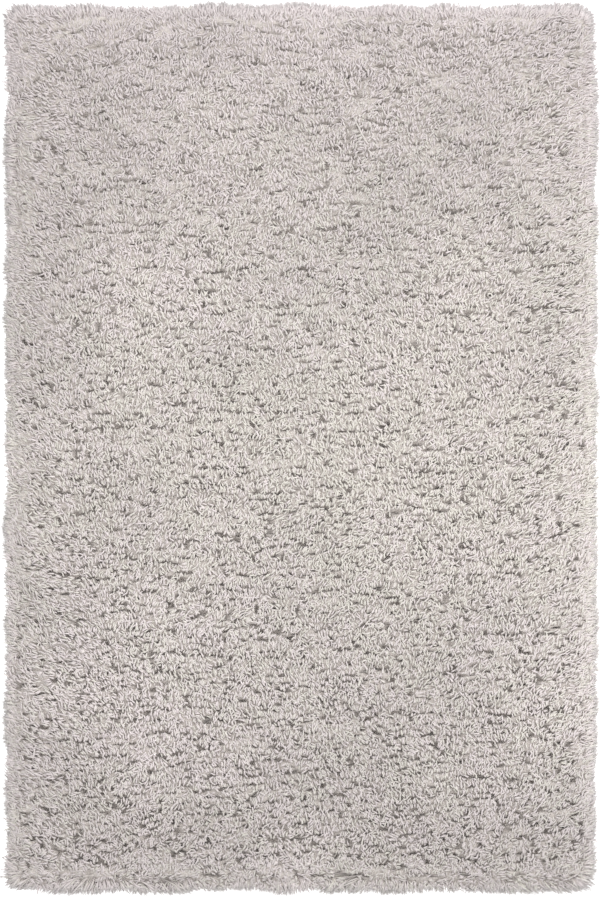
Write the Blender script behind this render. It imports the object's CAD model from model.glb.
"""A deep-pile shag rug lying flat, seen from straight above in soft studio light.

Every yarn end that shows is modelled. The ends stand side by side in small fans, called locks,
which overlap on a bed of close pile and lean with the nap. The yarn at the rim falls outwards
over the edge. All lengths are in metres, with X across the rug, Y towards its head and Z up. The
head is the side at the top of the photo, and the foot is the side at its bottom.
"""

import math
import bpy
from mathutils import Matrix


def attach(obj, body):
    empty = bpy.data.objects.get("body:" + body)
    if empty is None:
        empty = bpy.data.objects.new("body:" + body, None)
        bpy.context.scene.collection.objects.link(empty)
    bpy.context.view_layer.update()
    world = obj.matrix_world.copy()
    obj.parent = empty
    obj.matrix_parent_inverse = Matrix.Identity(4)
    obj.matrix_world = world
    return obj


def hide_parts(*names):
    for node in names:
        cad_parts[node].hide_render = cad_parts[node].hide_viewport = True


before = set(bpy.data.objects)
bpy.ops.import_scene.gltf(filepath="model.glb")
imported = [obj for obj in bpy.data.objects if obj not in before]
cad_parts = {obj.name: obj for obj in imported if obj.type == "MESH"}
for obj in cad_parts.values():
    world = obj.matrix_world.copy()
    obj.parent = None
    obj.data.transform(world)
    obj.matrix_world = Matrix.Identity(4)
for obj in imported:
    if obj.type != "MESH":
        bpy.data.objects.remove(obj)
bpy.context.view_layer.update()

from types import SimpleNamespace

import bpy
import numpy as np
from mathutils import Vector
from mathutils.bvhtree import BVHTree

PILE_NODE = "shag_pile"
BODY = "root"

# The rug's mean outline, and where it lies in the picture (pixels).
RUG_WIDTH = 1.220
RUG_LENGTH = 1.830
HALF_WIDTH = RUG_WIDTH / 2
HALF_LENGTH = RUG_LENGTH / 2
PICTURE_WIDTH = 600
PICTURE_HEIGHT = 898
PICTURE_LEFT = 4.84
PICTURE_RIGHT = 595.9
PICTURE_TOP = 5.2
PICTURE_BOTTOM = 891.9
METRES_PER_PIXEL = RUG_WIDTH / (PICTURE_RIGHT - PICTURE_LEFT)
# Radii of the outline's corners: foot right, head right, head left, foot left.
CORNER_RADII = (0.054, 0.050, 0.040, 0.038)

# Seeds of the random draws and of each smooth noise.
SEEDS = SimpleNamespace(
    draws=5,
    nap_x=3,
    nap_y=4,
    foot_line=6,
    bed=8,
    hue=21,
    tone=22,
    rim_clump=31,
    rim_sway=32,
    course=45,
    course_sway=46,
    patch=50,
    rim_heading=61,
    rim_depth=90,
)
NOISE_LATTICE = 256

# The solid's top is read by rays at this many places, and a share of its crevices is kept.
TOP_COLUMNS = 125
TOP_ROWS = 187
RAY_START = 0.2
CREVICE_CELLS = 2
CREVICE_SHARE = 0.20

# Yarn. Each ring is (share of the length, of the way out, of the climb or fall, of the radius).
# A ring of no radius is a point.
TOP_RINGS = ((0.0, 0.0, 0.0, 0.0), (0.50, 0.39, 0.875, 1.0), (1.0, 1.0, 1.0, 0.52))
RIM_RINGS = ((0.0, 0.0, 0.0, 0.0), (0.60, 0.52, 0.34, 1.0), (1.0, 1.0, 1.0, 0.0))
SIDES = 3
TOP_RADIUS = 0.0021
TOP_RADIUS_RANGE = (0.85, 1.15)
TOP_DROOP = 0.0003
TOP_DROOP_SPREAD = 0.0005
TOP_CURL = 0.0012
ROLL = 0.35
PLIES = 2
PLY_TURNS = 3.0

# Shades of the yarn: hues from greenish to pinkish, each in some tones from dark to light.
# Every shade is a column of the yarn's map, and an end's map keeps off the sides of its column.
SHADE_HUES = 8
SHADE_TONES = 6
SHADES = SHADE_HUES * SHADE_TONES
COLUMN_MARGIN = 0.1
MAP_MARGIN = 0.01

# The hue over the rug, from 0 to 1: greener round the middle and to the right, pinker at the
# head, and in patches.
HUE_MEAN = 0.70
HUE_MIDDLE = 0.42
HUE_MIDDLE_X = 0.03
HUE_MIDDLE_Y = -0.03
HUE_MIDDLE_WIDTH = 0.45
HUE_MIDDLE_LENGTH = 0.22
HUE_HEAD = 0.50
HUE_HEAD_REACH = 0.20
HUE_RIGHT = 0.08
HUE_PATCH = 0.30
HUE_PATCH_PITCH = 0.040
HUE_SPREAD = 0.34

# The tone over the rug, from 0 to 1: lighter round the middle and to the right, darker at the
# head, the foot and the left side, in clouds.
TONE_MEAN = 0.56
TONE_MIDDLE = 0.36
TONE_MIDDLE_Y = -0.04
TONE_MIDDLE_REACH = 0.42
TONE_HEAD = 0.36
TONE_HEAD_START = 0.25
TONE_HEAD_REACH = 0.6
TONE_RIGHT = 0.08
TONE_RIGHT_END = 0.4
TONE_FOOT = 0.50
TONE_FOOT_REACH = 0.22
TONE_LEFT = 0.44
TONE_LEFT_REACH = 0.18
TONE_CLOUD = 0.30
TONE_CLOUD_PITCH = 0.17
TONE_SPREAD = 0.12

# The lie of the pile. A nap or lean is a length of the nap's vector, longer where the pile lies
# flatter, and a fall is how far in from an edge the pile still turns outwards. The right half
# leans outwards from some way below its middle up to the head, and the line along which the pile
# turns over at the foot wanders.
FIELD_NAP = 0.60
LEFT_LEAN = 1.30
RIGHT_LEAN = 0.70
HEAD_RIGHT_LEAN = 0.45
HEAD_RIGHT_START = 0.6
SIDE_FALL = 0.132
HEAD_FALL = 0.085
FOOT_FALL = 0.042
FOOT_LINE_WANDER = 0.45
FOOT_LINE_PITCH = 0.034
NAP_X_WANDER = 0.22
NAP_X_PITCH = 0.16
NAP_Y_WANDER = 0.16
NAP_Y_PITCH = 0.13

# Turns of the yarn away from the nap, in degrees: by patch, by lock, by end and of stray ends.
PATCH_PITCH = 0.038
PATCH_TURN = 20.0
LOCK_TURN = 28.0
END_TURN = 17.0
STRAY_TURN = 30.0
STRAY_SHIFT = 0.009
STRAY_SHARE = 0.14
FOOT_LOOSE = 0.9
FOOT_LOOSE_REACH = 0.11

# The locks: each is a fan of yarn ends that lie close together, like a shingle. Where the pile
# lies flatter, a lock turns less, reaches further and is narrower.
TOP_ENDS_EACH = 4
LOCK_REACH = 0.0128
LOCK_REACH_RANGE = (0.85, 1.15)
LOCK_SPREAD = 0.0172
LOCK_SPREAD_RANGE = (0.75, 1.25)
LYING_CALM = 0.35
LYING_REACH = 0.32
LYING_NARROW = 0.26
LOCK_LEVEL = 0.0014
LOCK_CROWN = 0.0018
LOCK_ARC = 0.12
ROOT_SCATTER = 0.0038
ROOT_SCATTER_CARRIED = 0.6
ROOT_FAN = 0.80
TIP_FAN = 1.08
TIP_SCATTER = 0.0014
TIP_LAYERS = 0.0022
ROOT_SHARE = 0.70
ROOT_SINK = 0.0030
ROOT_LOWEST = 0.003

# Where the locks stand: in wandering courses, closer along the edges and wherever a gap is wide.
LOCK_WIDTH = 0.0127
LOCK_DEPTH = 0.0096
LOCK_SHIFT_ACROSS = 0.28
LOCK_SHIFT_ALONG = 0.25
COURSE_LENGTH = 0.024
COURSE_FRONT = 1.3
COURSE_WANDER = 0.55
COURSE_SWAY = 0.012
COURSE_SWAY_PITCH = 0.10
COURSE_SWAY_LENGTH = 0.6
FIELD_INSET = 0.017
EDGE_DRAWS = 13000
EDGE_BAND = 0.042
FOOT_BAND = 0.065
GAP_ROUNDS = 2
GAP_CELLS = (1, 3)
GAP_BEYOND_FIELD = 0.004
GAP_SPACING = 0.7

# The yarn that falls over the edge. Each layer is (inset, share of the pile's height, tip height).
RIM_LAYERS = (
    (0.021, 0.22, 0.0024),
    (0.025, 0.36, 0.0036),
    (0.029, 0.54, 0.0060),
    (0.033, 0.68, 0.0090),
    (0.037, 0.81, 0.0130),
)
RIM_RADIUS = 0.0022
RIM_RADIUS_RANGE = (0.80, 1.0)
RIM_DROOP = 0.0008
RIM_CURL = 0.0016
RIM_SPACING = 0.0023
RIM_SHIFT_ALONG = 0.4
RIM_INSET_SPREAD = 0.004
RIM_INSET_WANDER = 0.15
RIM_INSET_PITCH = 0.03
RIM_OUTWARD = 0.9
RIM_LEAST_OUTWARD = 0.55
RIM_TUFT_TURN = 26.0
RIM_TUFT_PITCH = 0.012
RIM_END_TURN = 10.0
RIM_BEYOND = 0.0010
RIM_BEYOND_RIGHT = 0.0013
RIM_BEYOND_ENDS = 0.0010
RIM_RAGGED = 0.0066
RIM_CLUMP_PITCH = 0.010
RIM_SWAY = 0.7
RIM_SWAY_PITCH = 0.045
RIM_REACH_SPREAD = 0.0020
RIM_ROOT_SPREAD = 0.0010
RIM_ROOT_LOWEST = 0.0045
RIM_TIP_SPREAD = 0.0012
RIM_TIP_LOWEST = 0.0024
RIM_CLEAR_OF_FLOOR = 1.05

# The bed of close pile under the locks. Depths are below the pile's top. They are taken times a
# share, which is larger at the foot and smaller at the head, and they are less along the parting,
# where the pile turns over at the foot, and within the rim's cover.
BED_CELLS_ACROSS = 132
BED_CELLS_ALONG = 630
BED_INSET = 0.014
BED_GAP = 0.0003
LOCK_FILL_DEPTH = 0.0044
LOCK_ROOT_DROP = 0.0104
LOCK_ROOT_RISE = 0.0025
LOCK_BEHIND_ROOT = 0.0025
LOCK_FILLED_REACH = 0.97
LOCK_SEARCH = 1.2
GAP_DEPTH = 0.0200
DIP_SHARE = 0.99
FOOT_DEEPER = 0.30
PARTING_FILL = 0.45
PARTING_REACH = 0.012
RIM_COVER = 0.032
RIM_DEPTH = 0.0078
BED_ROUGH = 0.0008
BED_ROUGH_PITCH = 0.006
BED_DEEPEST_SHARE = 0.55
BED_LOWEST = 0.006

# The ground cloth.
CLOTH_THICKNESS = 0.0022
CLOTH_INSET = 0.026
CLOTH_CELLS_ACROSS = 24
CLOTH_CELLS_ALONG = 36

# Colours, and how strongly the tones, the plies, the roots and the fibre grain shade them. The
# grain's noise is dark up to one value and clear from the other.
GREENISH_YARN = (0.758, 0.727, 0.663, 1)
PINKISH_YARN = (0.798, 0.725, 0.726, 1)
DARK_TONE = 0.87
LIGHT_TONE = 1.08
PLY_SHADE = 0.955
ROOT_TINT = (0.86, 0.815, 0.775, 1)
ROOT_TINT_END = 0.6
BED_COLOUR = (0.778, 0.710, 0.664, 1)
BED_FIBRES = 260
BED_GRAIN = 0.30
BED_RELIEF = 0.002
WEAVE_HOLLOW = (0.36, 0.29, 0.20, 1)
WEAVE_THREAD = (0.58, 0.49, 0.36, 1)
THREAD_WAVE = 0.005
CLOTH_FIBRES = 500
CLOTH_GRAIN = 0.18
CLOTH_RELIEF = 0.0008
FIBRE_RELIEF_SHARE = 0.3
GRAIN_DARK_AT = 0.32
GRAIN_CLEAR_AT = 0.68
PLAIN = (1, 1, 1, 1)

# The studio: a white floor, an even sky and one large lamp beyond the head, to the right.
FLOOR_SIZE = 14
FLOOR_LEVEL = -0.0005
FLOOR_COLOUR = (0.94, 0.94, 0.94, 1)
FLOOR_GLOW = 0.5
SKY_AT_HORIZON = 0.58
SKY_OVERHEAD = 1.335
LAMP_SIZE = 3.2
LAMP_POWER = 398
LAMP_PLACE = (4.6, 7.3, 6.8)
LAMP_AIM = (0, 0.1, 0)
CAMERA_HEIGHT = 8.0
SEEN_LEVEL = 0.015
SENSOR_HEIGHT = 24.0
FARTHEST_SEEN = 50


def smooth_noise(x, y, pitch, seed, pitch_along=None):
    """Random values from -1 to 1 on a lattice of this pitch, joined smoothly."""
    lattice = np.random.default_rng(seed).uniform(-1.0, 1.0, (NOISE_LATTICE, NOISE_LATTICE))
    across, along = np.asarray(x) / pitch, np.asarray(y) / (pitch_along or pitch)
    column, row = np.floor(across).astype(int), np.floor(along).astype(int)
    blend_x, blend_y = across - column, along - row
    blend_x = blend_x * blend_x * (3 - 2 * blend_x)
    blend_y = blend_y * blend_y * (3 - 2 * blend_y)

    def corner(step_x, step_y):
        return lattice[(column + step_x) % NOISE_LATTICE, (row + step_y) % NOISE_LATTICE]

    low = corner(0, 0) * (1 - blend_x) + corner(1, 0) * blend_x
    high = corner(0, 1) * (1 - blend_x) + corner(1, 1) * blend_x
    return low * (1 - blend_y) + high * blend_y


def line_noise(place, pitch, seed):
    """Smooth random values along a line."""
    return smooth_noise(place, np.zeros_like(place), pitch, seed)


def spread_extreme(heights, pick, cells):
    """Each place's highest (or lowest) neighbour within some cells."""
    padded = np.pad(heights, cells, mode="edge")
    columns, rows = heights.shape
    result = heights.copy()
    for i in range(2 * cells + 1):
        for j in range(2 * cells + 1):
            result = pick(result, padded[i : i + columns, j : j + rows])
    return result


def read_pile_top():
    """Heights of the solid pile's top on an even grid, read by rays, with shallower crevices."""
    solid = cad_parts[PILE_NODE].data
    tree = BVHTree.FromPolygons(
        [v.co for v in solid.vertices], [tuple(p.vertices) for p in solid.polygons]
    )
    heights = np.zeros((TOP_COLUMNS, TOP_ROWS))
    for i, x in enumerate(np.linspace(-HALF_WIDTH, HALF_WIDTH, TOP_COLUMNS)):
        for j, y in enumerate(np.linspace(-HALF_LENGTH, HALF_LENGTH, TOP_ROWS)):
            hit = tree.ray_cast(Vector((x, y, RAY_START)), Vector((0, 0, -1)))[0]
            heights[i, j] = hit.z if hit else 0.0
    raised = spread_extreme(heights, np.maximum, CREVICE_CELLS)
    filled = spread_extreme(raised, np.minimum, CREVICE_CELLS)
    return filled + CREVICE_SHARE * (heights - filled)


pile_top = read_pile_top()


def height_at(x, y):
    """Height of the pile's top at any place, between the grid's heights."""
    last_column, last_row = TOP_COLUMNS - 1, TOP_ROWS - 1
    inside_last = 0.001
    across = np.clip((np.asarray(x) / RUG_WIDTH + 0.5) * last_column, 0, last_column - inside_last)
    along = np.clip((np.asarray(y) / RUG_LENGTH + 0.5) * last_row, 0, last_row - inside_last)
    i, j = across.astype(int), along.astype(int)
    u, v = across - i, along - j
    low = pile_top[i, j] * (1 - u) + pile_top[i + 1, j] * u
    high = pile_top[i, j + 1] * (1 - u) + pile_top[i + 1, j + 1] * u
    return low * (1 - v) + high * v


def fall(distance, reach):
    """A share that goes smoothly from 1, at no distance, down to 0 past the reach."""
    return np.exp(-((np.maximum(distance, 0) / reach) ** 2))


def nap_at(x, y):
    """Which way the pile lies at a place. The vector is longer where the pile lies flatter."""
    to_right = np.clip(x / HALF_WIDTH, 0, 1) ** 2
    to_head = np.clip(HEAD_RIGHT_START + y / HALF_LENGTH, 0, 1)
    nap_x = (
        RIGHT_LEAN * fall(HALF_WIDTH - x, SIDE_FALL)
        - LEFT_LEAN * fall(HALF_WIDTH + x, SIDE_FALL)
        + HEAD_RIGHT_LEAN * to_right * to_head
    )
    foot_line = 1 + FOOT_LINE_WANDER * line_noise(x, FOOT_LINE_PITCH, SEEDS.foot_line)
    nap_y = (
        FIELD_NAP
        + (1 - FIELD_NAP) * fall(HALF_LENGTH - y, HEAD_FALL)
        - (1 + FIELD_NAP) * fall((HALF_LENGTH + y) * foot_line, FOOT_FALL)
    )
    nap_x = nap_x + NAP_X_WANDER * smooth_noise(x, y, NAP_X_PITCH, SEEDS.nap_x)
    nap_y = nap_y + NAP_Y_WANDER * smooth_noise(x, y, NAP_Y_PITCH, SEEDS.nap_y)
    return nap_x, nap_y


def corner_radius(x, y):
    """Radius of the outline's corner that is nearest to each place."""
    foot_right, head_right, head_left, foot_left = CORNER_RADII
    right = np.where(y < 0, foot_right, head_right)
    left = np.where(y < 0, foot_left, head_left)
    return np.where(x > 0, right, left)


def inside(x, y, inset):
    """Whether places lie in the rug's outline drawn in by inset."""
    least_radius = 0.006
    radius = np.maximum(corner_radius(x, y) - inset, least_radius)
    past_x = np.maximum(np.abs(x) - (HALF_WIDTH - inset - radius), 0)
    past_y = np.maximum(np.abs(y) - (HALF_LENGTH - inset - radius), 0)
    return np.hypot(past_x, past_y) <= radius


def yarn_paths(rings, root, tip, droop, curl):
    """Points along each yarn end, from its root by way of its rings to its tip."""
    out = np.array([ring[1] for ring in rings])
    climb = np.array([ring[2] for ring in rings])
    path = root[:, None, :] + (tip - root)[:, None, :] * out[None, :, None]
    path[:, :, 2] = root[:, 2:3] + (tip - root)[:, 2:3] * climb[None, :]
    path[:, 1:-1, 2] += droop[:, None]
    way = tip[:, :2] - root[:, :2]
    length = np.maximum(np.linalg.norm(way, axis=1, keepdims=True), 1e-6)
    aside = np.stack([-way[:, 1], way[:, 0]], 1) / length
    path[:, 1:-1, :2] += aside[:, None, :] * curl[:, None, None]
    return path


def ring_faces(rings):
    """Faces of one closed yarn end as corner numbers, with each corner's place round and along it.

    The root is a point, and the tip is a point or is closed by a cap.
    """
    first, faces, places = [], [], []
    count = 0
    for ring in rings:
        first.append(count)
        count += SIDES if ring[3] else 1
    for low in range(len(rings) - 1):
        high = low + 1
        for a in range(SIDES):
            b = (a + 1) % SIDES
            left, right, middle = a / SIDES, (a + 1) / SIDES, (a + 0.5) / SIDES
            start, end = rings[low][0], rings[high][0]
            if not rings[low][3]:
                faces.append((first[low], first[high] + b, first[high] + a))
                places.append(((middle, start), (right, end), (left, end)))
            elif not rings[high][3]:
                faces.append((first[low] + a, first[low] + b, first[high]))
                places.append(((left, start), (right, start), (middle, end)))
            else:
                faces.append((first[low] + a, first[low] + b, first[high] + b, first[high] + a))
                places.append(((left, start), (right, start), (right, end), (left, end)))
    # The cap takes its shade from the very top of the map.
    if rings[-1][3]:
        faces.append((first[-1], first[-1] + 1, first[-1] + 2))
        places.append(((0.1, 1.0), (0.9, 1.0), (0.5, 0.98)))
    return count, faces, places


def yarn_points(ends, members, rng):
    """Corner points of closed yarn ends, ring by ring along each."""
    paths, radius = ends.paths[members], ends.radius[members]
    count = len(paths)
    tangent = np.gradient(paths, axis=1)
    tangent /= np.linalg.norm(tangent, axis=2, keepdims=True)
    way = paths[:, -1, :2] - paths[:, 0, :2]
    reference = np.stack([-way[:, 1], way[:, 0], np.full(count, 1e-5)], 1)[:, None, :]
    across = reference - (reference * tangent).sum(2, keepdims=True) * tangent
    across /= np.maximum(np.linalg.norm(across, axis=2, keepdims=True), 1e-9)
    upward = np.cross(tangent, across)
    start_turn = math.pi / 6 + rng.normal(0, ROLL, (count, 1))
    corner_turn = start_turn + np.arange(SIDES)[None, :] * 2 * math.pi / SIDES
    sideways, upwards = np.cos(corner_turn)[..., None], np.sin(corner_turn)[..., None]
    loops = []
    for k, ring in enumerate(ends.rings):
        middle = paths[:, k : k + 1]
        if ring[3]:
            size = (radius * ring[3])[:, None, None]
            loop = sideways * across[:, k : k + 1] + upwards * upward[:, k : k + 1]
            loops.append(middle + size * loop)
        else:
            loops.append(middle)
    return np.concatenate(loops, axis=1)


def yarn_mesh(name, ends, members, material, rng):
    """One mesh of many closed yarn ends."""
    points, shade = yarn_points(ends, members, rng), ends.shade[members]
    count = len(points)
    points_each, faces, face_places = ring_faces(ends.rings)
    corners = np.array([corner for face in faces for corner in face])
    sizes = np.array([len(face) for face in faces])
    flat_places = np.array([place for face in face_places for place in face])
    places = np.empty((count, len(flat_places), 2))
    in_column = (1 - 2 * COLUMN_MARGIN) * flat_places[None, :, 0]
    places[:, :, 0] = (shade[:, None] + COLUMN_MARGIN + in_column) / SHADES
    places[:, :, 1] = MAP_MARGIN + (1 - 2 * MAP_MARGIN) * flat_places[None, :, 1]
    starts = np.arange(count)[:, None]
    point_numbers = corners[None, :] + starts * points_each
    first_loops = np.concatenate([[0], np.cumsum(sizes)[:-1]])[None, :] + starts * len(corners)

    mesh = bpy.data.meshes.new(name)
    mesh.vertices.add(count * points_each)
    mesh.vertices.foreach_set("co", points.astype(np.float32).ravel())
    mesh.loops.add(count * len(corners))
    mesh.loops.foreach_set("vertex_index", point_numbers.astype(np.int32).ravel())
    mesh.polygons.add(count * len(sizes))
    mesh.polygons.foreach_set("loop_start", first_loops.astype(np.int32).ravel())
    yarn_map = mesh.uv_layers.new(name="OFBake")
    yarn_map.uv.foreach_set("vector", places.astype(np.float32).ravel())
    mesh.update(calc_edges=True)
    mesh.materials.append(material)
    piece = bpy.data.objects.new(name, mesh)
    bpy.context.scene.collection.objects.link(piece)
    return piece


def shade_of(x, y, rng):
    """The column of shades that an end of yarn takes, by its hue and its tone."""
    away_x = (x - HUE_MIDDLE_X) ** 2 / HUE_MIDDLE_WIDTH
    away_y = (y - HUE_MIDDLE_Y) ** 2 / HUE_MIDDLE_LENGTH
    hue = (
        HUE_MEAN
        - HUE_MIDDLE * np.exp(-away_x - away_y)
        + HUE_HEAD * fall(HALF_LENGTH - y, HUE_HEAD_REACH)
        - HUE_RIGHT * x / HALF_WIDTH
    )
    patch = smooth_noise(x, y, HUE_PATCH_PITCH, SEEDS.hue)
    hue += HUE_PATCH * patch + rng.normal(0, HUE_SPREAD, len(x))
    tone = TONE_MEAN + TONE_MIDDLE * fall(np.abs(y - TONE_MIDDLE_Y), TONE_MIDDLE_REACH)
    tone -= TONE_HEAD * np.clip((y - TONE_HEAD_START) / TONE_HEAD_REACH, 0, 1)
    to_right = np.clip(x / HALF_WIDTH, -1, TONE_RIGHT_END)
    tone += TONE_RIGHT * to_right - TONE_FOOT * fall(HALF_LENGTH + y, TONE_FOOT_REACH)
    tone -= TONE_LEFT * fall(HALF_WIDTH + x, TONE_LEFT_REACH)
    cloud = smooth_noise(x, y, TONE_CLOUD_PITCH, SEEDS.tone)
    tone += TONE_CLOUD * cloud + rng.normal(0, TONE_SPREAD, len(x))
    hue_step = np.clip((hue * SHADE_HUES).astype(int), 0, SHADE_HUES - 1)
    tone_step = np.clip((tone * SHADE_TONES).astype(int), 0, SHADE_TONES - 1)
    return hue_step * SHADE_TONES + tone_step


def locks_at(x, y, rng):
    """Locks rooted at these places: where each points, how far it reaches and how it spreads."""
    count = len(x)
    nap_x, nap_y = nap_at(x, y)
    loose = 1 + FOOT_LOOSE * fall(HALF_LENGTH + y, FOOT_LOOSE_REACH)
    patch = smooth_noise(x, y, PATCH_PITCH, SEEDS.patch)
    heading = np.arctan2(nap_y, nap_x) + math.radians(PATCH_TURN) * patch
    lying = np.clip((np.hypot(nap_x, nap_y) - FIELD_NAP) / FIELD_NAP, 0, 1)
    heading += loose * (1 - LYING_CALM * lying) * rng.normal(0, math.radians(LOCK_TURN), count)
    return SimpleNamespace(
        x=x,
        y=y,
        heading=heading,
        reach=LOCK_REACH * rng.uniform(*LOCK_REACH_RANGE, count) * (1 + LYING_REACH * lying),
        spread=LOCK_SPREAD * rng.uniform(*LOCK_SPREAD_RANGE, count) * (1 - LYING_NARROW * lying),
        level=rng.normal(0, LOCK_LEVEL, count),
    )


def join_locks(locks, more):
    """All the locks of two groups."""
    return SimpleNamespace(
        **{key: np.concatenate([value, vars(more)[key]]) for key, value in vars(locks).items()}
    )


def course_places(rng):
    """Places of locks in courses that wander and sway across the rug."""
    columns = np.arange(-HALF_WIDTH, HALF_WIDTH, LOCK_WIDTH)
    rows = np.arange(-HALF_LENGTH, HALF_LENGTH + LOCK_DEPTH, LOCK_DEPTH)
    x, y = np.meshgrid(columns, rows, indexing="ij")
    x = x + 0.5 * LOCK_WIDTH * (np.arange(len(rows)) % 2)[None, :]
    x = x + rng.uniform(-LOCK_SHIFT_ACROSS, LOCK_SHIFT_ACROSS, x.shape) * LOCK_WIDTH
    front = smooth_noise(x, y, COURSE_LENGTH, SEEDS.course, COURSE_FRONT * LOCK_DEPTH)
    shift = rng.uniform(-LOCK_SHIFT_ALONG, LOCK_SHIFT_ALONG, y.shape)
    y = y + (COURSE_WANDER * front + shift) * LOCK_DEPTH
    sway = smooth_noise(x, y, COURSE_SWAY_PITCH, SEEDS.course_sway, COURSE_SWAY_LENGTH)
    return x.ravel(), (y + COURSE_SWAY * sway).ravel()


def lay_locks(rng):
    """The locks of the field, with more along its edges and wherever a wide gap is left."""
    course_x, course_y = course_places(rng)
    x = np.concatenate([course_x, rng.uniform(-HALF_WIDTH, HALF_WIDTH, EDGE_DRAWS)])
    y = np.concatenate([course_y, rng.uniform(-HALF_LENGTH, HALF_LENGTH, EDGE_DRAWS)])
    in_course = np.arange(len(x)) < len(course_x)
    near_edge = ~inside(x, y, EDGE_BAND) | (y < FOOT_BAND - HALF_LENGTH)
    keep = inside(x, y, FIELD_INSET) & (in_course | near_edge)
    locks = locks_at(x[keep], y[keep], rng)
    for _ in range(GAP_ROUNDS):
        x, y = wide_gaps(locks, rng)
        more = locks_at(x, y, rng)
        more.x = more.x - 0.5 * more.reach * np.cos(more.heading)
        more.y = more.y - 0.5 * more.reach * np.sin(more.heading)
        locks = join_locks(locks, more)
    return locks


def wide_gaps(locks, rng):
    """Middles of the gaps that stay open over GAP_CELLS cells each way, across and along."""
    x, y = cover_grid()
    in_field = inside(x, y, FIELD_INSET - GAP_BEYOND_FIELD)
    is_open = (cover_of_locks(x, y, locks) >= GAP_DEPTH) & in_field
    for axis, cells in enumerate(GAP_CELLS):
        narrowed = is_open.copy()
        for step in range(-cells, cells + 1):
            narrowed &= np.roll(is_open, step, axis)
        is_open = narrowed
    x, y = x[is_open], y[is_open]
    spacing = GAP_SPACING * LOCK_WIDTH
    chosen = []
    for i in rng.permutation(len(x)):
        if all(math.hypot(x[i] - x[j], y[i] - y[j]) > spacing for j in chosen):
            chosen.append(i)
    return x[chosen], y[chosen]


def ends_in_locks(locks, each, rng):
    """Yarn ends side by side in every lock: roots, tips without heights, and places in the lock."""
    own = np.repeat(np.arange(len(locks.x)), each)
    count = len(own)
    slot = np.tile((np.arange(each) + 0.5) / each * 2 - 1, len(locks.x))
    aside = slot + rng.uniform(-1.0, 1.0, count) / each
    half = locks.spread[own] / 2
    way_x, way_y = np.cos(locks.heading[own]), np.sin(locks.heading[own])
    back = rng.uniform(-ROOT_SCATTER, ROOT_SCATTER, count)
    root_aside = ROOT_FAN * half * aside
    root_x = locks.x[own] + way_x * back - way_y * root_aside
    root_y = locks.y[own] + way_y * back + way_x * root_aside
    ahead = locks.reach[own] * (1 - LOCK_ARC * aside**2)
    ahead = ahead + rng.normal(0, TIP_SCATTER, count) + ROOT_SCATTER_CARRIED * back
    stray = rng.normal(0, math.radians(END_TURN), count)
    tip_aside = half * aside * TIP_FAN + ahead * np.tan(stray)
    tip_x = locks.x[own] + way_x * ahead - way_y * tip_aside
    tip_y = locks.y[own] + way_y * ahead + way_x * tip_aside
    return own, aside, root_x, root_y, tip_x, tip_y


def make_top_yarn(locks, rng):
    """The yarn ends that make the visible pile: each stands up from the bed and flops over."""
    own, aside, x, y, tip_x, tip_y = ends_in_locks(locks, TOP_ENDS_EACH, rng)
    count = len(own)
    stray = (rng.random(count) < STRAY_SHARE) & inside(x, y, EDGE_BAND)
    turn = rng.normal(0, math.radians(STRAY_TURN), count) * stray
    away_x, away_y = tip_x - x, tip_y - y
    x = x + stray * rng.normal(0, STRAY_SHIFT, count)
    y = y + stray * rng.normal(0, STRAY_SHIFT, count)
    tip_x = x + np.cos(turn) * away_x - np.sin(turn) * away_y
    tip_y = y + np.sin(turn) * away_x + np.cos(turn) * away_y
    layer = rng.random(count)
    top_at_tip = height_at(tip_x, tip_y)
    tip_z = top_at_tip + locks.level[own] - LOCK_CROWN * aside**2 - TIP_LAYERS * layer
    tip_z = np.maximum(tip_z, ROOT_SHARE * top_at_tip)
    root_z = np.maximum(ROOT_SHARE * height_at(x, y) - ROOT_SINK, ROOT_LOWEST)
    root = np.stack([x, y, root_z], 1)
    tip = np.stack([tip_x, tip_y, tip_z], 1)
    droop = rng.normal(TOP_DROOP, TOP_DROOP_SPREAD, count)
    paths = yarn_paths(TOP_RINGS, root, tip, droop, rng.normal(0, TOP_CURL, count))
    radius = TOP_RADIUS * rng.uniform(*TOP_RADIUS_RANGE, count)
    shade = shade_of(x, y, rng)
    return SimpleNamespace(rings=TOP_RINGS, paths=paths, radius=radius, shade=shade, y=y)


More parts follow.
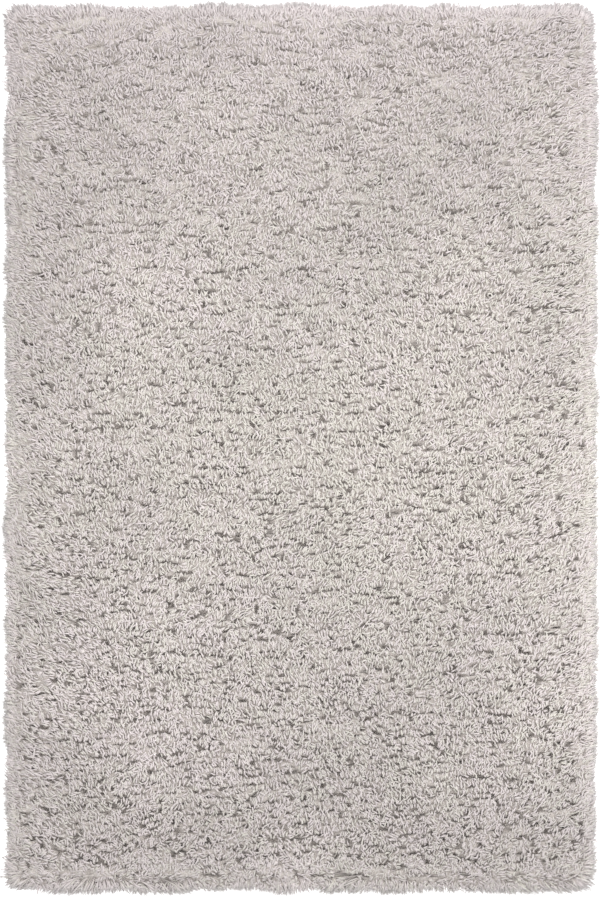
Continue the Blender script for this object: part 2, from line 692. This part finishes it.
def around(count, rng):
    """Places round the rug's outline, with the way outwards at each."""
    foot_right, head_right, head_left, foot_left = CORNER_RADII
    # A side and the corner after it, in turn: right, head, left, foot.
    runs = np.array(
        [
            RUG_LENGTH - foot_right - head_right,
            math.pi / 2 * head_right,
            RUG_WIDTH - head_right - head_left,
            math.pi / 2 * head_left,
            RUG_LENGTH - head_left - foot_left,
            math.pi / 2 * foot_left,
            RUG_WIDTH - foot_left - foot_right,
            math.pi / 2 * foot_right,
        ]
    )
    # A side's place is where it starts, and a corner's is the centre of its arc.
    starts = np.array(
        [
            (HALF_WIDTH, -HALF_LENGTH + foot_right),
            (HALF_WIDTH - head_right, HALF_LENGTH - head_right),
            (HALF_WIDTH - head_right, HALF_LENGTH),
            (-HALF_WIDTH + head_left, HALF_LENGTH - head_left),
            (-HALF_WIDTH, HALF_LENGTH - head_left),
            (-HALF_WIDTH + foot_left, -HALF_LENGTH + foot_left),
            (-HALF_WIDTH + foot_left, -HALF_LENGTH),
            (HALF_WIDTH - foot_right, -HALF_LENGTH + foot_right),
        ]
    )
    radii = np.array([0, head_right, 0, head_left, 0, foot_left, 0, foot_right])
    ends = np.cumsum(runs)
    shift = rng.uniform(-RIM_SHIFT_ALONG, RIM_SHIFT_ALONG, count)
    place = (np.arange(count) + shift) % count / count * ends[-1]
    run = np.minimum(np.searchsorted(ends, place), len(runs) - 1)
    within = place - (ends - runs)[run]
    is_turn = run % 2 == 1
    side_angle = (run // 2) * math.pi / 2
    angle = side_angle + np.where(is_turn, within / np.maximum(radii[run], 1e-6), 0)
    out_x, out_y = np.cos(angle), np.sin(angle)
    straight = np.where(is_turn, 0, within)
    x = starts[run, 0] - np.sin(side_angle) * straight + radii[run] * out_x * is_turn
    y = starts[run, 1] + np.cos(side_angle) * straight + radii[run] * out_y * is_turn
    return x, y, out_x, out_y, place


def rim_layer(count, layer, heading_seed, rng):
    """Roots and tips of one layer of the yarn that falls over the edge."""
    inset, share, tip_z = layer
    x, y, out_x, out_y, place = around(count, rng)
    depth = inset + rng.uniform(-RIM_INSET_SPREAD, RIM_INSET_SPREAD, count)
    depth += RIM_INSET_WANDER * inset * line_noise(place, RIM_INSET_PITCH, SEEDS.rim_depth)
    x, y = x - depth * out_x, y - depth * out_y
    nap_x, nap_y = nap_at(x, y)
    lean = np.hypot(nap_x, nap_y)
    heading = np.arctan2(RIM_OUTWARD * out_y + nap_y / lean, RIM_OUTWARD * out_x + nap_x / lean)
    heading += math.radians(RIM_TUFT_TURN) * line_noise(place, RIM_TUFT_PITCH, heading_seed)
    heading += rng.normal(0, math.radians(RIM_END_TURN), count)
    way_x, way_y = np.cos(heading), np.sin(heading)
    outward = np.clip(way_x * out_x + way_y * out_y, RIM_LEAST_OUTWARD, 1.0)
    clump = line_noise(place, RIM_CLUMP_PITCH, SEEDS.rim_clump)
    clump += RIM_SWAY * line_noise(place, RIM_SWAY_PITCH, SEEDS.rim_sway)
    beyond = RIM_BEYOND + RIM_BEYOND_RIGHT * out_x + RIM_BEYOND_ENDS * out_y**2
    reach = depth + rng.normal(0, RIM_REACH_SPREAD, count) + beyond + RIM_RAGGED * clump
    reach = reach / outward
    root_z = share * height_at(x, y) + rng.normal(0, RIM_ROOT_SPREAD, count)
    root = np.stack([x, y, np.maximum(root_z, RIM_ROOT_LOWEST)], 1)
    tip_height = np.maximum(tip_z + rng.normal(0, RIM_TIP_SPREAD, count), RIM_TIP_LOWEST)
    tip = np.stack([x + reach * way_x, y + reach * way_y, tip_height], 1)
    return root, tip


def make_rim_yarn(rng):
    """Yarn that falls over the edge, in layers."""
    count = int(2 * (RUG_WIDTH + RUG_LENGTH) / RIM_SPACING)
    layers = [
        rim_layer(count, layer, SEEDS.rim_heading + number, rng)
        for number, layer in enumerate(RIM_LAYERS)
    ]
    root = np.concatenate([roots for roots, tips in layers])
    tip = np.concatenate([tips for roots, tips in layers])
    droop = rng.uniform(-RIM_DROOP, RIM_DROOP, len(root))
    paths = yarn_paths(RIM_RINGS, root, tip, droop, rng.normal(0, RIM_CURL, len(root)))
    paths[:, :, 2] = np.maximum(paths[:, :, 2], RIM_CLEAR_OF_FLOOR * RIM_RADIUS)
    radius = RIM_RADIUS * rng.uniform(*RIM_RADIUS_RANGE, len(root))
    x, y = root[:, 0], root[:, 1]
    shade = shade_of(x, y, rng)
    return SimpleNamespace(rings=RIM_RINGS, paths=paths, radius=radius, shade=shade, y=y)


def link_value(tree, socket, value):
    """Sets a socket to a plain value, or links it to another node's output."""
    if isinstance(value, bpy.types.NodeSocket):
        tree.links.new(value, socket)
    else:
        socket.default_value = value


def math_node(tree, operation, *values):
    node = tree.nodes.new("ShaderNodeMath")
    node.operation = operation
    for socket, value in zip(node.inputs, values):
        link_value(tree, socket, value)
    return node.outputs[0]


def map_range(tree, value, low, high, to_low, to_high):
    node = tree.nodes.new("ShaderNodeMapRange")
    names = ("Value", "From Min", "From Max", "To Min", "To Max")
    for name, setting in zip(names, (value, low, high, to_low, to_high)):
        link_value(tree, node.inputs[name], setting)
    return node.outputs[0]


def mix_colours(tree, blend, factor, first, second):
    node = tree.nodes.new("ShaderNodeMix")
    node.data_type = "RGBA"
    node.blend_type = blend
    sockets = [socket for socket in node.inputs if socket.enabled]
    for socket, value in zip(sockets, (factor, first, second)):
        link_value(tree, socket, value)
    return [socket for socket in node.outputs if socket.enabled][0]


def grey_colour(tree, value):
    node = tree.nodes.new("ShaderNodeCombineColor")
    for channel in ("Red", "Green", "Blue"):
        tree.links.new(value, node.inputs[channel])
    return node.outputs[0]


def darkened(tree, colour, strength):
    """A colour times a shade."""
    return mix_colours(tree, "MULTIPLY", 1.0, colour, grey_colour(tree, strength))


def separate_xyz(tree, vector):
    node = tree.nodes.new("ShaderNodeSeparateXYZ")
    tree.links.new(vector, node.inputs[0])
    return node.outputs


def new_material(name, settings):
    """A material with these settings of its Principled BSDF. Gives its node tree too."""
    material = bpy.data.materials.new(name)
    material.use_nodes = True
    tree = material.node_tree
    for socket, value in settings.items():
        tree.nodes["Principled BSDF"].inputs[socket].default_value = value
    return material, tree


def link_surface(tree, socket, value):
    """Links a value to a socket of the material's Principled BSDF."""
    tree.links.new(value, tree.nodes["Principled BSDF"].inputs[socket])


def add_bump(tree, height, distance):
    bump = tree.nodes.new("ShaderNodeBump")
    bump.inputs["Distance"].default_value = distance
    tree.links.new(height, bump.inputs["Height"])
    link_surface(tree, "Normal", bump.outputs["Normal"])


def new_group(name, inputs, outputs):
    """An empty node group with named inputs and outputs of these socket types."""
    group = bpy.data.node_groups.new(name, "ShaderNodeTree")
    for title, kind in inputs:
        group.interface.new_socket(name=title, in_out="INPUT", socket_type=kind)
    for title, kind in outputs:
        group.interface.new_socket(name=title, in_out="OUTPUT", socket_type=kind)
    return group, group.nodes.new("NodeGroupInput"), group.nodes.new("NodeGroupOutput")


def make_fibre_grain():
    """Fine matted fibre: a shade that varies by place, and a height for bump."""
    inputs = (
        ("Place", "NodeSocketVector"),
        ("Fibres per Metre", "NodeSocketFloat"),
        ("Depth of Shade", "NodeSocketFloat"),
    )
    outputs = (("Shade", "NodeSocketFloat"), ("Height", "NodeSocketFloat"))
    group, given, result = new_group("fibre_grain", inputs, outputs)
    depth = given.outputs["Depth of Shade"]
    noise = group.nodes.new("ShaderNodeTexNoise")
    noise.inputs["Detail"].default_value = 4
    noise.inputs["Roughness"].default_value = 0.6
    group.links.new(given.outputs["Place"], noise.inputs["Vector"])
    group.links.new(given.outputs["Fibres per Metre"], noise.inputs["Scale"])
    clear = map_range(group, noise.outputs["Fac"], GRAIN_DARK_AT, GRAIN_CLEAR_AT, 0.0, 1.0)
    dark = math_node(group, "SUBTRACT", 1.0, depth)
    shade = math_node(group, "ADD", dark, math_node(group, "MULTIPLY", clear, depth))
    group.links.new(shade, result.inputs["Shade"])
    group.links.new(clear, result.inputs["Height"])
    return group


def grained(tree, group, place, fibres, depth):
    """Places the fibre grain in a material. Gives its shade and its height."""
    node = tree.nodes.new("ShaderNodeGroup")
    node.node_tree = group
    link_value(tree, node.inputs["Place"], place)
    node.inputs["Fibres per Metre"].default_value = fibres
    node.inputs["Depth of Shade"].default_value = depth
    return node.outputs["Shade"], node.outputs["Height"]


def yarn_material():
    """Matt two-ply yarn. Its map's columns are the shades, and its height runs from root to tip."""
    material, tree = new_material(
        "greige_yarn",
        {
            "Roughness": 0.92,
            "Sheen Weight": 0.4,
            "Sheen Roughness": 0.6,
            "Specular IOR Level": 0.2,
        },
    )
    uv = tree.nodes.new("ShaderNodeUVMap")
    uv.uv_map = "OFBake"
    place = separate_xyz(tree, uv.outputs["UV"])
    across = math_node(tree, "MULTIPLY", place["X"], SHADES)
    column = math_node(tree, "FLOOR", across)
    hue_column = math_node(tree, "FLOOR", math_node(tree, "DIVIDE", column, SHADE_TONES))
    tone_column = math_node(tree, "MODULO", column, SHADE_TONES)
    hue = math_node(tree, "DIVIDE", hue_column, SHADE_HUES - 1)
    tone = math_node(tree, "DIVIDE", tone_column, SHADE_TONES - 1)
    yarn_colour = mix_colours(tree, "MIX", hue, GREENISH_YARN, PINKISH_YARN)
    toned = map_range(tree, tone, 0.0, 1.0, DARK_TONE, LIGHT_TONE)
    up = map_range(tree, place["Y"], 0.0, ROOT_TINT_END, 0.0, 1.0)
    turn = math_node(tree, "FRACT", across)
    twist = math_node(tree, "ADD", turn, math_node(tree, "MULTIPLY", place["Y"], PLY_TURNS))
    ply = math_node(tree, "SINE", math_node(tree, "MULTIPLY", twist, 2 * math.pi * PLIES))
    plied = map_range(tree, ply, -1.0, 1.0, PLY_SHADE, 1.0)
    rooted = mix_colours(tree, "MIX", up, ROOT_TINT, PLAIN)
    shaded = darkened(tree, rooted, math_node(tree, "MULTIPLY", toned, plied))
    link_surface(tree, "Base Color", mix_colours(tree, "MULTIPLY", 1.0, yarn_colour, shaded))
    return material


def bed_material(fibre_grain):
    """Matted pile seen in the gaps between the yarn ends."""
    material, tree = new_material("pile_depths", {"Roughness": 0.95, "Sheen Weight": 0.4})
    where = tree.nodes.new("ShaderNodeTexCoord").outputs["Object"]
    shade, height = grained(tree, fibre_grain, where, BED_FIBRES, BED_GRAIN)
    link_surface(tree, "Base Color", darkened(tree, BED_COLOUR, shade))
    add_bump(tree, height, BED_RELIEF)
    return material


def cloth_material(fibre_grain):
    """Plain woven ground cloth in natural fibre: crossing threads and fine fibre."""
    material, tree = new_material("ground_weave", {"Roughness": 0.9, "Sheen Weight": 0.2})
    where = tree.nodes.new("ShaderNodeTexCoord").outputs["Object"]
    place = separate_xyz(tree, where)
    threads = 2 * math.pi / THREAD_WAVE
    warp = math_node(tree, "SINE", math_node(tree, "MULTIPLY", place["X"], threads))
    weft = math_node(tree, "SINE", math_node(tree, "MULTIPLY", place["Y"], threads))
    crossing = map_range(tree, math_node(tree, "MULTIPLY", warp, weft), -1.0, 1.0, 0.0, 1.0)
    shade, height = grained(tree, fibre_grain, where, CLOTH_FIBRES, CLOTH_GRAIN)
    weave = mix_colours(tree, "MIX", crossing, WEAVE_HOLLOW, WEAVE_THREAD)
    link_surface(tree, "Base Color", darkened(tree, weave, shade))
    fibres = math_node(tree, "MULTIPLY", height, FIBRE_RELIEF_SHARE)
    add_bump(tree, math_node(tree, "ADD", crossing, fibres), CLOTH_RELIEF)
    return material


def new_grid(name, cells_x, cells_y, inset):
    """A flat grid with round corners, drawn in from the rug's outline. Gives its points too."""
    bpy.ops.object.select_all(action="DESELECT")
    bpy.ops.mesh.primitive_grid_add(x_subdivisions=cells_x, y_subdivisions=cells_y, size=2)
    piece = bpy.context.object
    piece.name = piece.data.name = name
    co = np.empty(len(piece.data.vertices) * 3, np.float32)
    piece.data.vertices.foreach_get("co", co)
    co = co.reshape(-1, 3).astype(float)
    half_x, half_y = HALF_WIDTH - inset, HALF_LENGTH - inset
    x, y = co[:, 0] * half_x, co[:, 1] * half_y
    radius = corner_radius(x, y) - inset
    past_x = np.clip((np.abs(x) - (half_x - radius)) / radius, 0, 1)
    past_y = np.clip((np.abs(y) - (half_y - radius)) / radius, 0, 1)
    round_x = past_x * np.sqrt(1 - past_y**2 / 2)
    round_y = past_y * np.sqrt(1 - past_x**2 / 2)
    co[:, 0] = np.sign(x) * (np.abs(x) - (past_x - round_x) * radius)
    co[:, 1] = np.sign(y) * (np.abs(y) - (past_y - round_y) * radius)
    return piece, co


def drop_rim(floor):
    """Drops a grid's rim to a level and closes the underside. The grid is the active object."""
    bpy.ops.object.mode_set(mode="EDIT")
    bpy.ops.mesh.select_all(action="SELECT")
    bpy.ops.mesh.region_to_loop()
    bpy.ops.mesh.extrude_region_move()
    bpy.ops.transform.resize(value=(1, 1, 0), center_override=(0, 0, floor))
    bpy.ops.mesh.edge_face_add()
    bpy.ops.mesh.select_all(action="SELECT")
    bpy.ops.mesh.normals_make_consistent(inside=False)
    bpy.ops.object.mode_set(mode="OBJECT")


def cover_grid():
    """Places of the fine grid on which the locks' cover is found."""
    return np.meshgrid(
        np.linspace(-HALF_WIDTH, HALF_WIDTH, 2 * BED_CELLS_ACROSS),
        np.linspace(-HALF_LENGTH, HALF_LENGTH, 2 * BED_CELLS_ALONG),
        indexing="ij",
    )


def cover_of_locks(x, y, locks):
    """Depth below the pile's top of the close yarn under the locks, at the places of a grid."""
    depth = np.full(x.shape, GAP_DEPTH)
    columns, rows = x[:, 0], y[0, :]
    for i in range(len(locks.x)):
        reach, half = locks.reach[i], locks.spread[i] / 2
        near = max(reach, half) * LOCK_SEARCH
        left, right = np.searchsorted(columns, (locks.x[i] - near, locks.x[i] + near))
        low, high = np.searchsorted(rows, (locks.y[i] - near, locks.y[i] + near))
        part = (slice(left, right), slice(low, high))
        way_x, way_y = math.cos(locks.heading[i]), math.sin(locks.heading[i])
        away_x, away_y = x[part] - locks.x[i], y[part] - locks.y[i]
        ahead = away_x * way_x + away_y * way_y
        aside = (away_y * way_x - away_x * way_y) / half
        drop = LOCK_ROOT_DROP * fall(ahead, LOCK_ROOT_RISE)
        own = LOCK_FILL_DEPTH - locks.level[i] + LOCK_CROWN * aside**2 + drop
        front = LOCK_FILLED_REACH * reach * (1 - LOCK_ARC * aside**2)
        covered = (ahead > -LOCK_BEHIND_ROOT) & (ahead < front) & (np.abs(aside) < 1)
        depth[part] = np.where(covered, np.minimum(depth[part], own), depth[part])
    return depth


def make_pile_bed(locks, material):
    """The close underlying pile, as one body that fills the space under the yarn ends.

    Its dips are deeper towards the foot, shallower along the parting and slight at the rim.
    """
    bed, co = new_grid("pile_bed", BED_CELLS_ACROSS, BED_CELLS_ALONG, BED_INSET)
    x, y = co[:, 0], co[:, 1]
    depth = cover_of_locks(*cover_grid(), locks)
    column = np.rint((x / RUG_WIDTH + 0.5) * (depth.shape[0] - 1)).astype(int)
    row = np.rint((y / RUG_LENGTH + 0.5) * (depth.shape[1] - 1)).astype(int)
    depth = depth[column, row] * (DIP_SHARE - FOOT_DEEPER * y / HALF_LENGTH)
    depth = np.maximum(depth, LOCK_FILL_DEPTH)
    parting = fall(np.abs(HALF_LENGTH + y - FOOT_FALL), PARTING_REACH)
    in_field = inside(x, y, RIM_COVER)
    field_depth = depth * (1 - PARTING_FILL * parting)
    depth = np.where(in_field, field_depth, np.minimum(depth, RIM_DEPTH))
    rough = BED_ROUGH * smooth_noise(x, y, BED_ROUGH_PITCH, SEEDS.bed)
    top = height_at(x, y)
    height = top - np.minimum(depth, BED_DEEPEST_SHARE * top) + rough
    co[:, 2] = np.maximum(height, BED_LOWEST)
    bed.data.vertices.foreach_set("co", co.astype(np.float32).ravel())
    drop_rim(CLOTH_THICKNESS + BED_GAP)
    bed.data.shade_smooth()
    bed.data.materials.append(material)
    return bed


def make_ground_cloth(material):
    """The woven cloth that the yarn is tufted in, flat on the floor."""
    cloth, co = new_grid("ground_cloth", CLOTH_CELLS_ACROSS, CLOTH_CELLS_ALONG, CLOTH_INSET)
    co[:, 2] = CLOTH_THICKNESS
    cloth.data.vertices.foreach_set("co", co.astype(np.float32).ravel())
    drop_rim(0.0)
    cloth.data.materials.append(material)
    return cloth


def make_floor():
    """The white floor of the photo, which glows a little, so that it is white all over."""
    bpy.ops.object.select_all(action="DESELECT")
    bpy.ops.mesh.primitive_plane_add(size=FLOOR_SIZE, location=(0, 0, FLOOR_LEVEL))
    floor = bpy.context.object
    floor.name = "studio_floor"
    material, _ = new_material(
        "white_floor",
        {
            "Base Color": FLOOR_COLOUR,
            "Roughness": 0.9,
            "Emission Color": PLAIN,
            "Emission Strength": FLOOR_GLOW,
        },
    )
    floor.data.materials.append(material)


def make_light():
    """An even sky, brighter overhead, and a large lamp that comes in over the head."""
    world = bpy.data.worlds.new("studio")
    bpy.context.scene.world = world
    world.use_nodes = True
    tree = world.node_tree
    way = tree.nodes.new("ShaderNodeTexCoord").outputs["Generated"]
    height = separate_xyz(tree, way)["Z"]
    strength = map_range(tree, height, 0.0, 1.0, SKY_AT_HORIZON, SKY_OVERHEAD)
    tree.links.new(strength, tree.nodes["Background"].inputs["Strength"])
    tree.nodes["Background"].inputs["Color"].default_value = PLAIN
    lamp = bpy.data.lights.new("head_softbox", "AREA")
    lamp.shape = "RECTANGLE"
    lamp.size = lamp.size_y = LAMP_SIZE
    lamp.energy = LAMP_POWER
    lamp_object = bpy.data.objects.new("head_softbox", lamp)
    lamp_object.location = LAMP_PLACE
    aim = Vector(LAMP_AIM) - lamp_object.location
    lamp_object.rotation_euler = aim.to_track_quat("-Z", "Y").to_euler()
    bpy.context.scene.collection.objects.link(lamp_object)


def make_camera():
    """A camera straight above, which sees the rug at its place in the photo."""
    camera = bpy.data.cameras.new("overhead_camera")
    view = bpy.data.objects.new("overhead_camera", camera)
    centre_x = (PICTURE_WIDTH / 2 - (PICTURE_LEFT + PICTURE_RIGHT) / 2) * METRES_PER_PIXEL
    centre_y = ((PICTURE_TOP + PICTURE_BOTTOM) / 2 - PICTURE_HEIGHT / 2) * METRES_PER_PIXEL
    view.location = (centre_x, centre_y, CAMERA_HEIGHT)
    seen_height = PICTURE_HEIGHT * METRES_PER_PIXEL
    camera.sensor_fit = "VERTICAL"
    camera.sensor_height = SENSOR_HEIGHT
    camera.lens = camera.sensor_height * (CAMERA_HEIGHT - SEEN_LEVEL) / seen_height
    camera.clip_end = FARTHEST_SEEN
    bpy.context.scene.collection.objects.link(view)
    bpy.context.scene.camera = view


bpy.context.scene.view_settings.view_transform = "Standard"
rng = np.random.default_rng(SEEDS.draws)
locks = lay_locks(rng)
fibre_grain = make_fibre_grain()
yarn = yarn_material()
cloth = make_ground_cloth(cloth_material(fibre_grain))
pieces = [cloth, make_pile_bed(locks, bed_material(fibre_grain))]
# Each kind of yarn is cut in bands from foot to head, so that a piece isn't too large.
for kind, ends, bands in (
    ("top_yarn", make_top_yarn(locks, rng), 4),
    ("rim_yarn", make_rim_yarn(rng), 1),
):
    order = np.argsort(ends.y)
    for band, members in enumerate(np.array_split(order, bands)):
        pieces.append(yarn_mesh(f"{kind}_{band + 1}", ends, members, yarn, rng))
for piece in pieces:
    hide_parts(PILE_NODE)
    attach(piece, BODY)
make_floor()
make_light()
make_camera()
